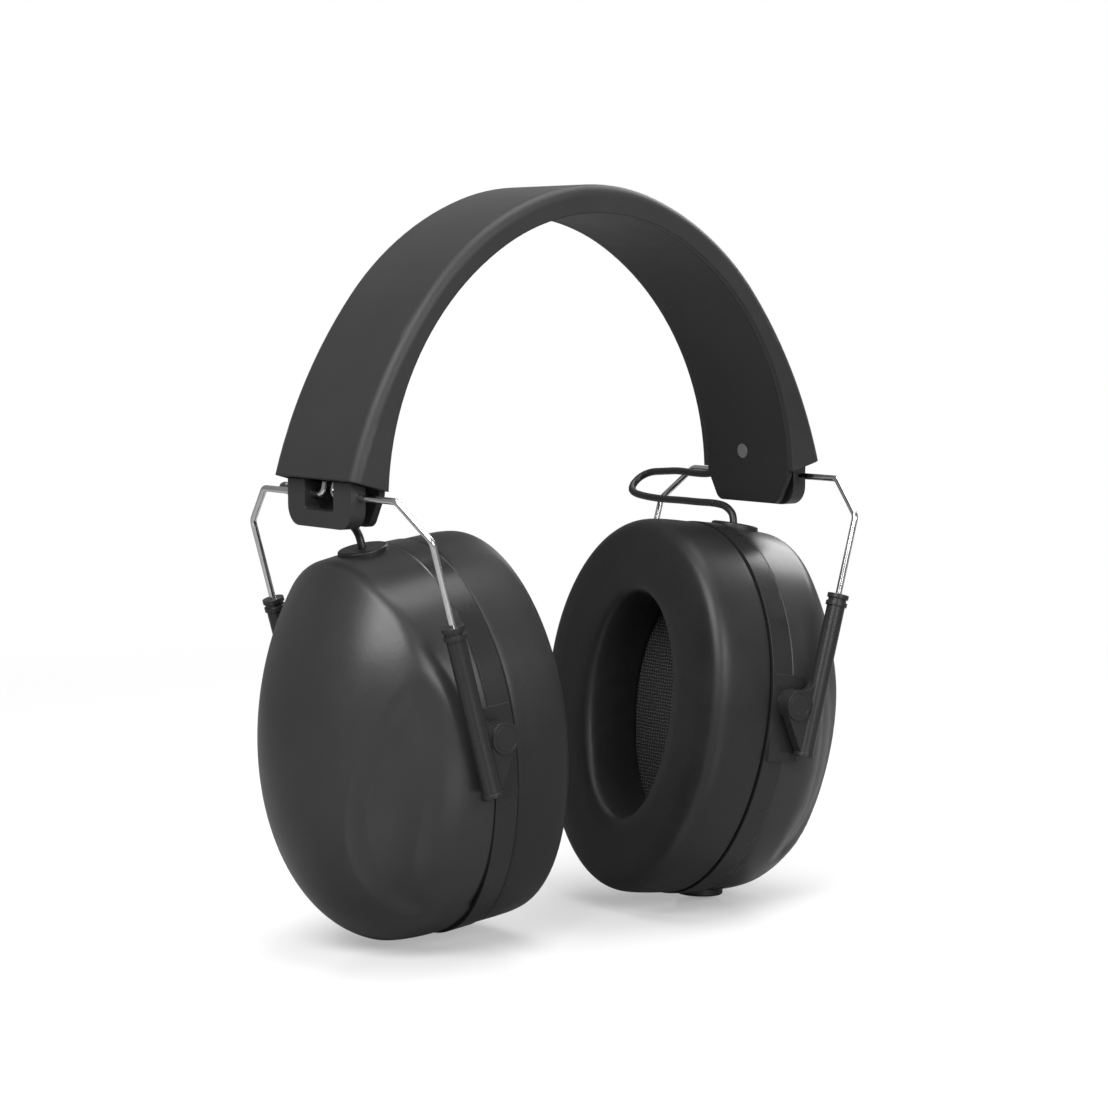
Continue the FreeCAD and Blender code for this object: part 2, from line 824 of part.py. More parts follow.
def baffle_screw_holes(clearance):
    """Countersunk heads and shanks of the baffle screws, grown by a clearance."""
    start = baffle_start + seat_gap
    heads = []
    for y, z in baffle_screw_places():
        wide = screw_head_radius + clearance
        narrow = screw_radius + clearance
        corner = Vector(start - clearance, y, z)
        heads.append(Part.makeCone(wide, narrow, screw_head_height + clearance, corner, Vector(1, 0, 0)))
    shanks = baffle_screw_cylinders(screw_radius + clearance, start - clearance, start + screw_length)
    return heads, shanks


def baffle_screws():
    heads, shanks = baffle_screw_holes(0)
    return Part.makeCompound([head.fuse(shank).removeSplitter() for head, shank in zip(heads, shanks)])


def sounder():
    """A moving-coil driver: body through the baffle, flange behind it, magnet outboard."""
    flange_start = ring_ledge_start
    flange_end = flange_start + sounder_flange_height
    outline = [
        (sounder_front, 0),
        (sounder_front, sounder_body_radius),
        (flange_start, sounder_body_radius),
        (flange_start, sounder_flange_radius),
        (flange_end, sounder_flange_radius),
        (flange_end + sounder_basket_depth, sounder_body_radius),
        (sounder_depth - sounder_magnet_height, sounder_magnet_radius),
        (sounder_depth, sounder_magnet_radius),
        (sounder_depth, 0),
    ]
    points = [Vector(out, 0, sounder_rise + radius) for out, radius in outline]
    loop = Part.makePolygon(points + points[:1])
    return Part.Face(loop).revolve(Vector(0, 0, sounder_rise), Vector(1, 0, 0), 360)


def shell_lining():
    """Damping foam that fills the middle of the shell."""
    cavity = shell_form(shell_wall + soft_gap, lining_start)
    reach = 2 * cup_half_height
    depth = lining_end - lining_start
    box = Part.makeBox(depth, reach, reach, Vector(lining_start, -reach / 2, -reach / 2))
    shank_radius = grommet_shank_radius + lining_relief
    shank = Part.makeCylinder(shank_radius, cutter_reach, Vector(0, 0, -cutter_reach / 2))
    body = cavity.common(box).cut(place(shank, grommet_placement(grommet_out, 1)))
    return body.cut(place(shank, grommet_placement(gland_out, -1)))


# Leads

# The band's end of each link lead, which is alike on both sides
lead_leaving = [
    (73.2, 13.5, -56.5),
    (73.1, 13.6, -65.0),
    (73.3, 14.0, -73.0),
]
# The loop behind the wearer's left bracket, as the lead runs back to the grommet
lead_loop_left = [
    (73.4, 20.0, -76.2),
    (73.2, 27.5, -76.4),
    (73.1, 35.5, -75.9),
    (73.2, 43.0, -76.5),
    (72.7, 48.7, -76.9),
    (70.7, 51.7, -78.6),
    (67.7, 51.7, -81.2),
    (65.7, 48.9, -83.0),
    (65.3, 42.5, -83.8),
    (65.5, 34.0, -84.2),
    (65.3, 25.0, -84.0),
    (65.4, 16.5, -84.1),
    (65.2, 9.0, -83.9),
    (65.4, 3.4, -84.6),
]
# The short loop behind the wearer's right bracket, given as if on the left
lead_loop_right = [
    (73.5, 18.4, -75.4),
    (73.5, 23.6, -75.4),
    (73.2, 27.8, -74.9),
    (71.1, 30.1, -74.2),
    (68.1, 30.1, -75.0),
    (66.1, 27.8, -75.9),
    (65.9, 22.0, -77.3),
    (66.0, 14.5, -79.8),
    (65.8, 8.0, -82.2),
    (65.5, 3.0, -84.7),
]


def lead_entry():
    """Points on a cup's grommet axis: above its top and at the end of the lead in the cup."""
    base = cup_placement().multiply(grommet_placement(grommet_out, 1))
    above = base.multVec(Vector(0, 0, grommet_height + lead_straight))
    inside = base.multVec(Vector(0, 0, -grommet_shank_length))
    return above, inside


def link_lead(loop, label):
    start = side_point(lead_depth, lead_leaves_turn) + Vector(0, lead_y, 0)
    above, inside = lead_entry()
    points = [start] + [Vector(*point) for point in lead_leaving + loop] + [above, inside]
    radii = []
    for before, corner, after in zip(points, points[1:], points[2:]):
        turn = (corner - before).getAngle(after - corner)
        shorter = min((corner - before).Length, (after - corner).Length)
        radii.append(lead_bend_share * shorter / math.tan(turn / 2))
    path = rounded_path(points, radii)
    solid = tube_along(path, lead_diameter / 2, points[0], points[1] - points[0])
    length = path.Length
    ideal = math.pi * (lead_diameter / 2) ** 2 * length
    print(label, "radii", [round(radius, 1) for radius in radii])
    print(label, "length", round(length, 1), "volume over section times length", round(solid.Volume / ideal, 4))
    return solid


def band_lead():
    path = Part.Wire(outer_arch(lead_depth, lead_leaves_turn))
    start = ends(path.Edges)[0]
    direction = path.Edges[0].tangentAt(path.Edges[0].FirstParameter)
    solid = tube_along(path, lead_diameter / 2, start, direction)
    solid.translate(Vector(0, lead_y, 0))
    return solid


def write(name, shape):
    shape.exportStep("parts/" + name + ".step")


def main():
    os.makedirs("parts", exist_ok=True)
    write("headband_cover", headband_cover())
    write("headband_liner", headband_liner())
    write("side_markers", side_markers())
    write("spring_strip", spring_strip())
    write("band_lead", band_lead())
    write("link_lead_left", link_lead(lead_loop_left, "link_lead_left"))
    write("link_lead_right", mirrored(link_lead(lead_loop_right, "link_lead_right")))

    top_grommet = place(grommet(lead_diameter / 2 + lead_clearance), grommet_placement(grommet_out, 1))
    gland = place(grommet(gland_bore_radius), grommet_placement(gland_out, -1))
    shell = cup_shell().cut(grommet_cutter(grommet_out, 1))
    shells = {"left": shell.cut(grommet_cutter(gland_out, -1)), "right": shell}
    write("inlet_gland", cup_frame(gland))
    pieces = {
        "bracket": bracket(),
        "rivets": rivets(),
        "yoke_wire": yoke_wire(),
        "slider_front": slider_front(),
        "slider_rear": front_to_rear(slider_front()),
        "cup_ring": cup_frame(cup_ring()),
        "pivot_pins": cup_frame(pivot_pins()),
        "cushion": cup_frame(cushion()),
        "cushion_retainer": cup_frame(cushion_retainer()),
        "ear_cloth": cup_frame(ear_cloth()),
        "ear_foam": cup_frame(ear_foam()),
        "baffle": cup_frame(baffle()),
        "baffle_screws": cup_frame(baffle_screws()),
        "sounder": cup_frame(sounder()),
        "shell_lining": cup_frame(shell_lining()),
        "top_grommet": cup_frame(top_grommet),
    }
    for name, shape in pieces.items():
        write(name + "_left", shape)
        write(name + "_right", mirrored(shape))
    write("cup_shell_left", cup_frame(shells["left"]))
    write("cup_shell_right", mirrored(cup_frame(shells["right"])))


main()
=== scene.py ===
"""Looks of the hearing protection earmuffs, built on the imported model."""

import json
import math

import bmesh
import bpy
import numpy as np
from mathutils import Matrix, Vector

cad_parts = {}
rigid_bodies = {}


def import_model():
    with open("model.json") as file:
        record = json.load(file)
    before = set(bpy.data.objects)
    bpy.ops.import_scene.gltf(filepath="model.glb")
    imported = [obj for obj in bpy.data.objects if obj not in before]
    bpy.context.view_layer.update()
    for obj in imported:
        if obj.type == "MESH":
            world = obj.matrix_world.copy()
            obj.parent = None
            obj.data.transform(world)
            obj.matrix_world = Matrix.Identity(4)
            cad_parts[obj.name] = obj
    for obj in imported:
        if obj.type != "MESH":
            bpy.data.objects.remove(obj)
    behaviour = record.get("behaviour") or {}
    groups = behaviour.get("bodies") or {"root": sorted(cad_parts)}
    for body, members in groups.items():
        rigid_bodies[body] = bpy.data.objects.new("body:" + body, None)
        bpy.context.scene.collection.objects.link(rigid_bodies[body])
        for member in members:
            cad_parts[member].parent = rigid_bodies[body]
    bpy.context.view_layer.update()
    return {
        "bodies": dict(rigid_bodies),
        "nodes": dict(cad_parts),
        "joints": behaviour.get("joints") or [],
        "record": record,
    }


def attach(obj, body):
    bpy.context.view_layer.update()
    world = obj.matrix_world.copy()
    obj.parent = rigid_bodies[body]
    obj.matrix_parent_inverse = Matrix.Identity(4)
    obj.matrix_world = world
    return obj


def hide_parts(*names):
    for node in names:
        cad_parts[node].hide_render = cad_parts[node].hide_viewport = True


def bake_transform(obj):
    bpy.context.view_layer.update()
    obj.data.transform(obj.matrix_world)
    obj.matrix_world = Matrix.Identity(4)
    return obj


MM = 0.001
SIDES = {"left": 1, "right": -1}

# The model's sizes that the visual pieces share, in millimetres
PIVOT = Vector((50.9, 0, -137.1))
PIVOT_ON_CUP = Vector((6.4, 0, 5.7))
CUP_TILT = 6.93
CUP_HALF_WIDTH = 40.85
CUP_HALF_HEIGHT = 54.4
CUP_WIDEST_RISE = 4.0
RING_DEPTH = 7.5
SHELL_WALL = 2.4
SHELL_DRAFT = 5.0
DOME_CENTRE = (4.3, 7.9)
DOME_SIZE = (41.9, 41.9, 63.5)
DOME_LEAN = 17.0
RIDGE_ROUND = 0.8

# Cushion sections: depth inward from the seam, and how far the outline is drawn in or the opening grows
CUSHION_OUTER = [(0.1, 1.0), (0.5, 0.5), (1.5, 0.3), (4.0, 0.25), (9.5, 0.2), (14.4, 0.4), (17.1, 1.1),
                 (18.8, 2.8), (19.4, 5.2), (19.7, 9.0)]
CUSHION_INNER = [(19.7, 6.0), (19.3, 3.0), (18.4, 1.3), (16.6, 0.4), (12.0, 0.0), (6.0, 0.0), (0.1, 0.0)]
CUSHION_BACK = [(0.1, 9.4), (1.15, 9.3), (1.15, 2.3), (0.1, 2.2)]
CUSHION_SWELL = 0.8
CUSHION_HELD_DEPTH = 1.2
FILLING_PRESSURE = 4
FILLING_FRAMES = 20
OPENING_HALF_WIDTH = 18.0
OPENING_HALF_HEIGHT = 32.0
OPENING_RISE = 2.0

# Foam sections: distance out from the seam, and how far the outline is drawn in or the cavity's line is shrunk
EAR_FOAM = [(0.95, 6.4), (1.1, 5.8), (1.75, 5.7), (2.4, 5.8), (2.55, 6.4)]
LINING_GAP = 0.5
LINING = [(17.2, 0.97), (17.8, 1.0), (21.0, 1.0), (25.0, 1.0), (29.2, 1.0), (29.8, 0.97)]

# Ear knit: its outline's half sizes, where its edge lies out from the seam, its bulge and its thickness
KNIT_HALF_WIDTH = 35.1
KNIT_HALF_HEIGHT = 48.6
KNIT_EDGE_OUT = 0.35
KNIT_BULGE = 0.9
KNIT_THICKNESS = 0.4

# Crescent step on each flank of the shell: its two edges as height and distance from the middle plane
CRESCENT_OUTER = [(-44.5, 22.6), (-39.7, 21.0), (-34.3, 19.6), (-26.6, 18.7), (-18.4, 19.3), (-9.8, 20.8),
                  (-3.1, 22.4), (3.7, 24.4), (10.0, 26.9), (17.0, 29.6), (22.8, 32.0)]
CRESCENT_INNER = [(-43.5, 24.0), (-36.2, 23.6), (-26.0, 23.6), (-16.0, 24.6), (-7.2, 26.0), (-1.7, 27.5),
                  (3.9, 29.5), (9.5, 31.8), (16.0, 34.0), (22.8, 35.0)]
CRESCENT_DEPTH = 1.7
CRESCENT_BOTTOM, CRESCENT_BOTTOM_FADE = -47, 5
CRESCENT_TOP, CRESCENT_TOP_FADE = 26, 10
# Over what length below the ridge the step comes in, by height
CRESCENT_EASE_HEIGHTS = (-42, -25, 20)
CRESCENT_EASE = (1.5, 3.5, 3.0)

# Link lead routes, given as if on the left: out of the band, round behind the bracket, into the grommet
LEAD_DIAMETER = 2.2
LEAD_LEAVES = [(71.13, 13.5, -51.09), (73.2, 13.5, -56.5), (73.1, 13.6, -65.0), (73.3, 14.0, -73.0)]
LEAD_LOOPS = {
    "left": [(73.4, 20.0, -76.2), (73.2, 27.5, -76.4), (73.1, 35.5, -75.9), (73.2, 43.0, -76.5),
             (72.7, 48.7, -76.9), (70.7, 51.7, -78.6), (67.7, 51.7, -81.2), (65.7, 48.9, -83.0),
             (65.3, 42.5, -83.8), (65.5, 34.0, -84.2), (65.3, 25.0, -84.0), (65.4, 16.5, -84.1),
             (65.2, 9.0, -83.9), (65.4, 3.4, -84.6)],
    "right": [(73.5, 18.4, -75.4), (73.5, 23.6, -75.4), (73.2, 27.8, -74.9), (71.1, 30.1, -74.2),
              (68.1, 30.1, -75.0), (66.1, 27.8, -75.9), (65.9, 22.0, -77.3), (66.0, 14.5, -79.8),
              (65.8, 8.0, -82.2), (65.5, 3.0, -84.7)],
}
LEAD_ENTERS = [(65.68, 0.0, -88.19), (63.9, 0.0, -96.61)]
# Where each route turns back, and where it drops to the grommet: the lead is cut into runs at these
LEAD_TURNS = {
    "left": ((72.7, 49.5, -77.5), (65.4, 9.0, -84.0)),
    "right": ((71.1, 30.0, -74.3), (65.8, 8.0, -82.2)),
}
# A point along the first run, where it comes round behind the bracket
LEAD_BAND_END = (73.4, 19.0, -75.6)

FLOOR_REACH = 6.0
FLOOR_HEIGHT = -0.1992


def cup_matrix(side):
    """From cup axes in millimetres (outboard, y, up the seam) to the object's frame in metres."""
    turn = Matrix.Rotation(math.radians(CUP_TILT), 4, "Y")
    matrix = Matrix.Translation(PIVOT) @ turn @ Matrix.Translation(-PIVOT_ON_CUP)
    mirror = Matrix.Diagonal((side, 1, 1, 1))
    return Matrix.Scale(MM, 4) @ mirror @ matrix


# Materials

class Shader:
    """One procedural material under construction."""

    def __init__(self, name):
        self.material = bpy.data.materials.new(name)
        self.material.use_nodes = True
        self.tree = self.material.node_tree
        self.surface = self.tree.nodes["Principled BSDF"]
        self.coords = self.add("ShaderNodeTexCoord").outputs["Object"]

    def add(self, kind, **values):
        node = self.tree.nodes.new(kind)
        for key, value in values.items():
            setattr(node, key, value)
        return node

    def link(self, source, target):
        self.tree.links.new(source, target)

    def stretched(self, scale, turn=(0, 0, 0)):
        mapping = self.add("ShaderNodeMapping")
        mapping.inputs["Scale"].default_value = scale
        mapping.inputs["Rotation"].default_value = turn
        self.link(self.coords, mapping.inputs["Vector"])
        return mapping.outputs["Vector"]

    def wandering(self, amount):
        """Coordinates pushed about by noise, so that a regular pattern wanders."""
        noise = self.add("ShaderNodeTexNoise")
        noise.inputs["Scale"].default_value = 420
        self.link(self.coords, noise.inputs["Vector"])
        push = self.add("ShaderNodeVectorMath", operation="SCALE")
        push.inputs["Scale"].default_value = amount
        self.link(noise.outputs["Color"], push.inputs[0])
        total = self.add("ShaderNodeVectorMath", operation="ADD")
        self.link(self.coords, total.inputs[0])
        self.link(push.outputs["Vector"], total.inputs[1])
        return total.outputs["Vector"]

    def noise(self, scale, detail=3.0, roughness=0.55, vector=None):
        node = self.add("ShaderNodeTexNoise")
        node.inputs["Scale"].default_value = scale
        node.inputs["Detail"].default_value = detail
        node.inputs["Roughness"].default_value = roughness
        self.link(vector or self.coords, node.inputs["Vector"])
        return node.outputs["Fac"]

    def cells(self, scale, feature="F1", vector=None):
        node = self.add("ShaderNodeTexVoronoi", feature=feature)
        node.inputs["Scale"].default_value = scale
        self.link(vector or self.coords, node.inputs["Vector"])
        return node.outputs["Distance"]

    def wave(self, scale, direction, vector=None):
        node = self.add("ShaderNodeTexWave", bands_direction=direction)
        node.inputs["Scale"].default_value = scale
        self.link(vector or self.coords, node.inputs["Vector"])
        return node.outputs["Fac"]

    def maths(self, operation, first, second):
        node = self.add("ShaderNodeMath", operation=operation)
        for socket, value in zip(node.inputs, (first, second)):
            if isinstance(value, (int, float)):
                socket.default_value = value
            else:
                self.link(value, socket)
        return node.outputs["Value"]

    def spread(self, factor, low, high):
        """A value between low and high, as factor goes from 0.3 to 0.7."""
        node = self.add("ShaderNodeMapRange")
        node.inputs["From Min"].default_value = 0.3
        node.inputs["From Max"].default_value = 0.7
        node.inputs["To Min"].default_value = low
        node.inputs["To Max"].default_value = high
        self.link(factor, node.inputs["Value"])
        return node.outputs["Result"]

    def colours(self, factor, dark, light):
        """Base colour from dark to light, as factor goes from 0.3 to 0.7."""
        node = self.add("ShaderNodeValToRGB")
        first, last = node.color_ramp.elements
        first.position, last.position = 0.3, 0.7
        first.color, last.color = (*dark, 1), (*light, 1)
        self.link(factor, node.inputs["Fac"])
        self.link(node.outputs["Color"], self.surface.inputs["Base Color"])

    def bump(self, height, distance, strength=1.0, under=None):
        node = self.add("ShaderNodeBump")
        node.inputs["Strength"].default_value = strength
        node.inputs["Distance"].default_value = distance
        self.link(height, node.inputs["Height"])
        if under:
            self.link(under, node.inputs["Normal"])
        self.link(node.outputs["Normal"], self.surface.inputs["Normal"])
        return node.outputs["Normal"]

    def rounded(self, radius):
        """A normal that rounds every edge over by radius."""
        node = self.add("ShaderNodeBevel", samples=6)
        node.inputs["Radius"].default_value = radius
        return node.outputs["Normal"]

    def constant(self, **values):
        for key, value in values.items():
            self.surface.inputs[key.replace("_", " ")].default_value = value


def moulded(name, level, roughness, grain, depth):
    """Moulded plastic: a fine spark-eroded grain, faint flow mottling and slightly uneven gloss."""
    shader = Shader(name)
    mottle = shader.noise(38, 4)
    shader.colours(mottle, (level * 0.9,) * 3, (level * 1.08, level * 1.08, level * 1.11))
    shader.link(shader.spread(shader.noise(90, 5), roughness - 0.035, roughness + 0.035),
                shader.surface.inputs["Roughness"])
    shader.bump(shader.noise(grain, 2), depth, under=shader.rounded(0.00025))
    shader.constant(Specular_IOR_Level=0.4)
    return shader.material


def soft_touch(name, level):
    """Soft-touch band material: dense matt grain with a slight sheen and handling marks."""
    shader = Shader(name)
    wear = shader.noise(24, 6, 0.65)
    shader.colours(wear, (level * 0.88,) * 3, (level * 1.1, level * 1.1, level * 1.12))
    shader.link(shader.spread(wear, 0.44, 0.54), shader.surface.inputs["Roughness"])
    shader.bump(shader.cells(2600), 0.00002, 0.5, shader.rounded(0.0006))
    shader.constant(Sheen_Weight=0.05, Sheen_Roughness=0.4, Specular_IOR_Level=0.35)
    return shader.material


def leatherette(name, level):
    """Smooth protein leather: fine pebbled grain over long shallow creases."""
    shader = Shader(name)
    tone = shader.noise(60, 5)
    shader.colours(tone, (level * 0.85,) * 3, (level * 1.12, level * 1.12, level * 1.14))
    shader.link(shader.spread(tone, 0.4, 0.48), shader.surface.inputs["Roughness"])
    creases = shader.bump(shader.noise(170, 2, 0.4), 0.00012, 0.35)
    shader.bump(shader.cells(1500, "SMOOTH_F1"), 0.00006, 0.4, creases)
    shader.constant(Sheen_Weight=0.04, Sheen_Roughness=0.35, Specular_IOR_Level=0.4)
    return shader.material


def knit(name, level):
    """Fine warp knit: crossed ribs with small dark holes between them."""
    shader = Shader(name)
    ribs = shader.wave(330, "Z", shader.wandering(0.0009))
    rows = shader.wave(290, "Y", shader.wandering(0.0012))
    loops = shader.maths("MULTIPLY", ribs, rows)
    shader.colours(loops, (level * 0.25,) * 3, (level * 1.5,) * 3)
    shader.link(shader.spread(shader.noise(400), 0.8, 0.95), shader.surface.inputs["Roughness"])
    shader.bump(loops, 0.0005, 0.9)
    shader.constant(Sheen_Weight=0.1, Sheen_Roughness=0.5)
    return shader.material


def drawn_steel(name, level, roughness):
    """Bright drawn wire: fine lengthwise polishing lines and slight clouding."""
    shader = Shader(name)
    clouds = shader.noise(220, 4)
    shader.colours(clouds, (level * 0.86,) * 3, (level, level, level * 0.99))
    shader.link(shader.spread(clouds, roughness - 0.05, roughness + 0.06),
                shader.surface.inputs["Roughness"])
    lines = shader.noise(1, 3, 0.6, shader.stretched((4000, 4000, 120)))
    shader.bump(lines, 0.00001, 0.4)
    shader.constant(Metallic=1.0)
    return shader.material


def rubber(name, level, roughness=0.5):
    """Matt rubber with a dusty bloom."""
    shader = Shader(name)
    bloom = shader.noise(120, 5, 0.6)
    shader.colours(bloom, (level * 0.8,) * 3, (level * 1.15,) * 3)
    shader.link(shader.spread(bloom, roughness - 0.05, roughness + 0.08),
                shader.surface.inputs["Roughness"])
    shader.bump(shader.noise(1400, 2), 0.00002, 0.5)
    return shader.material


def open_foam(name, level):
    """Open-cell foam: dark pores in a lighter skeleton."""
    shader = Shader(name)
    pores = shader.cells(900)
    shader.colours(pores, (level * 0.4,) * 3, (level * 1.3,) * 3)
    shader.link(shader.spread(pores, 0.9, 1.0), shader.surface.inputs["Roughness"])
    shader.bump(pores, 0.0003, 0.8)
    return shader.material


# Meshes

def new_object(name, mesh, material, body):
    """A smooth piece in the scene, which rides on a body unless body is None."""
    piece = bpy.data.objects.new(name, mesh)
    bpy.context.collection.objects.link(piece)
    mesh.materials.clear()
    mesh.materials.append(material)
    for polygon in mesh.polygons:
        polygon.use_smooth = True
    if body:
        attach(piece, body)
    return piece


def lofted_mesh(name, rings, closed_along=False):
    """Quads between rings of points; ends are closed by fans, or the last ring joins the first."""
    bm = bmesh.new()
    rows = [[bm.verts.new(point) for point in ring] for ring in rings]
    pairs = list(zip(rows, rows[1:]))
    if closed_along:
        pairs.append((rows[-1], rows[0]))
    count = len(rows[0])
    for near, far in pairs:
        for index in range(count):
            following = (index + 1) % count
            bm.faces.new((near[index], near[following], far[following], far[index]))
    if not closed_along:
        bm.faces.new(rows[0][::-1])
        bm.faces.new(rows[-1])
    bmesh.ops.recalc_face_normals(bm, faces=bm.faces)
    mesh = bpy.data.meshes.new(name)
    bm.to_mesh(mesh)
    bm.free()
    return mesh


def egg_point(turn, half_width, half_height, rise):
    """A point (y, up) of the egg that is widest at rise, where turn 0 is +y and 90 degrees is up."""
    y = half_width * math.cos(turn)
    reach = half_height - rise if math.sin(turn) > 0 else half_height + rise
    return y, rise + reach * math.sin(turn)


def build_cushion(name, side, material, body):
    """A roll round the ear opening, pressed out by its filling, with a rebate for the retainer in its back."""
    matrix = cup_matrix(side)
    count = 160
    sections = []
    for depth, inset in fine_profile(CUSHION_OUTER):
        sections.append((depth, CUP_HALF_WIDTH - inset, CUP_HALF_HEIGHT - inset, CUP_WIDEST_RISE))
    for depth, growth in fine_profile(CUSHION_INNER):
        sections.append((depth, OPENING_HALF_WIDTH + growth, OPENING_HALF_HEIGHT + growth, OPENING_RISE))
    for depth, inset in CUSHION_BACK:
        sections.append((depth, CUP_HALF_WIDTH - inset, CUP_HALF_HEIGHT - inset, CUP_WIDEST_RISE))
    rings = []
    for depth, half_width, half_height, rise in sections:
        rings.append([matrix @ point for point in egg_ring(-depth, half_width, half_height, rise, count)])
    piece = new_object(name, lofted_mesh(name, rings, closed_along=True), material, None)
    held = [row * count + index for row, section in enumerate(sections) for index in range(count)
            if section[0] < CUSHION_HELD_DEPTH]
    swell(piece, held, CUSHION_SWELL * MM)
    subdivide(piece)
    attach(piece, body)
    return piece


def swell(piece, held, limit):
    """Press a pad's skin out by simulation with some points held, and keep the result as its shape.

    No point moves as far as the limit, in metres."""
    group = piece.vertex_groups.new(name="held")
    group.add(held, 1.0, "REPLACE")
    cloth = piece.modifiers.new("filling", "CLOTH")
    cloth.settings.vertex_group_mass = group.name
    cloth.settings.effector_weights.gravity = 0
    cloth.settings.use_pressure = True
    cloth.settings.uniform_pressure_force = FILLING_PRESSURE
    for frame in range(1, FILLING_FRAMES + 1):
        bpy.context.scene.frame_set(frame)
    depsgraph = bpy.context.evaluated_depsgraph_get()
    pressed = [vertex.co.copy() for vertex in piece.evaluated_get(depsgraph).data.vertices]
    piece.modifiers.remove(cloth)
    piece.vertex_groups.remove(group)
    bpy.context.scene.frame_set(1)
    for vertex, target in zip(piece.data.vertices, pressed):
        shift = target - vertex.co
        vertex.co += shift * (limit / (limit + shift.length))


def build_foam(name, rings, side, material, body):
    """A soft-edged foam block through rings of points in cup axes."""
    matrix = cup_matrix(side)
    mesh = lofted_mesh(name, [[matrix @ Vector(point) for point in ring] for ring in rings])
    piece = new_object(name, mesh, material, body)
    return piece


def lining_rings():
    """Rings just inside the shell's cavity at the depths of its lining."""
    cavity = shell_surface(SHELL_WALL + LINING_GAP, 60, 96, False)
    rings = []
    for out, share in LINING:
        ring = []
        for column in range(cavity.shape[1]):
            line = cavity[:, column]
            y, up = [np.interp(out, line[:, 0], line[:, axis]) for axis in (1, 2)]
            ring.append((out, y * share, CUP_WIDEST_RISE + (up - CUP_WIDEST_RISE) * share))
        rings.append(ring)
    return rings


def egg_ring(out, half_width, half_height, rise, count=96):
    """Points of an egg in cup axes, at one distance out from the seam."""
    turns = [2 * math.pi * index / count for index in range(count)]
    return [Vector((out, *egg_point(turn, half_width, half_height, rise))) for turn in turns]


def fine_profile(points, share=3):
    """Catmull-Rom points along a profile, share to each run."""
    padded = [points[0]] + list(points) + [points[-1]]
    result = []
    for a, b, c, d in zip(padded, padded[1:], padded[2:], padded[3:]):
        for step in range(share):
            t = step / share
            weights = (-t + 2 * t**2 - t**3, 2 - 5 * t**2 + 3 * t**3, t + 4 * t**2 - 3 * t**3, t**3 - t**2)
            near_points = list(zip(weights, (a, b, c, d)))
            result.append(tuple(sum(w * p[axis] for w, p in near_points) / 2 for axis in (0, 1)))
    result.append(points[-1])
    return result


def wall_reach(direction, inset):
    """How far along a direction from the rim's centre the drafted egg wall lies."""
    draft = math.tan(math.radians(SHELL_DRAFT))
    near = np.zeros(direction.shape[:-1])
    far = np.full(direction.shape[:-1], 90.0)
    height = np.where(direction[..., 2] > 0, CUP_HALF_HEIGHT - CUP_WIDEST_RISE,
                      CUP_HALF_HEIGHT + CUP_WIDEST_RISE)
    for _ in range(40):
        middle = (near + far) / 2
        point = direction * middle[..., None]
        drawn_in = point[..., 0] * draft + inset
        wide = np.maximum(CUP_HALF_WIDTH - drawn_in, 1)
        tall = np.maximum(height - drawn_in, 1)
        outside = (point[..., 1] / wide) ** 2 + (point[..., 2] / tall) ** 2 > 1
        far = np.where(outside, middle, far)
        near = np.where(outside, near, middle)
    return near


def dome_reach(direction, inset):
    """How far along a direction from the rim's centre the leaning dome lies."""
    lean = math.radians(DOME_LEAN)
    axes = np.array([[math.cos(lean), 0, math.sin(lean)], [0, 1, 0], [-math.sin(lean), 0, math.cos(lean)]])
    size = np.array(DOME_SIZE) - inset
    start = axes @ np.array([RING_DEPTH - DOME_CENTRE[0], 0, CUP_WIDEST_RISE - DOME_CENTRE[1]]) / size
    run = direction @ axes.T / size
    a = (run**2).sum(-1)
    b = (run * start).sum(-1)
    c = (start**2).sum() - 1
    return (-b + np.sqrt(b**2 - a * c)) / a


def smooth_least(first, second, width):
    """The lesser of two lengths, with a rounded change from one to the other."""
    blend = np.clip(0.5 + 0.5 * (second - first) / width, 0, 1)
    return second * (1 - blend) + first * blend - width * blend * (1 - blend)


def ramp(value):
    """From 0 to 1 in a straight run with softened ends."""
    value = np.clip(value, 0, 1)
    return 0.7 * value + 0.3 * value * value * (3 - 2 * value)


def crescent_depth(point, spare):
    """How far the flank is pressed in beyond the crescent, easing out again towards the ridge."""
    height = point[..., 2]
    flank = np.abs(point[..., 1])
    outer = np.interp(height, *zip(*CRESCENT_OUTER))
    inner = np.interp(height, *zip(*CRESCENT_INNER))
    pressed = ramp((flank - outer) / (inner - outer))
    ease = np.interp(height, CRESCENT_EASE_HEIGHTS, CRESCENT_EASE)
    bottom = ramp((height - CRESCENT_BOTTOM) / CRESCENT_BOTTOM_FADE)
    ends = bottom * ramp((CRESCENT_TOP - height) / CRESCENT_TOP_FADE)
    return CRESCENT_DEPTH * pressed * ends * ramp(spare / ease)


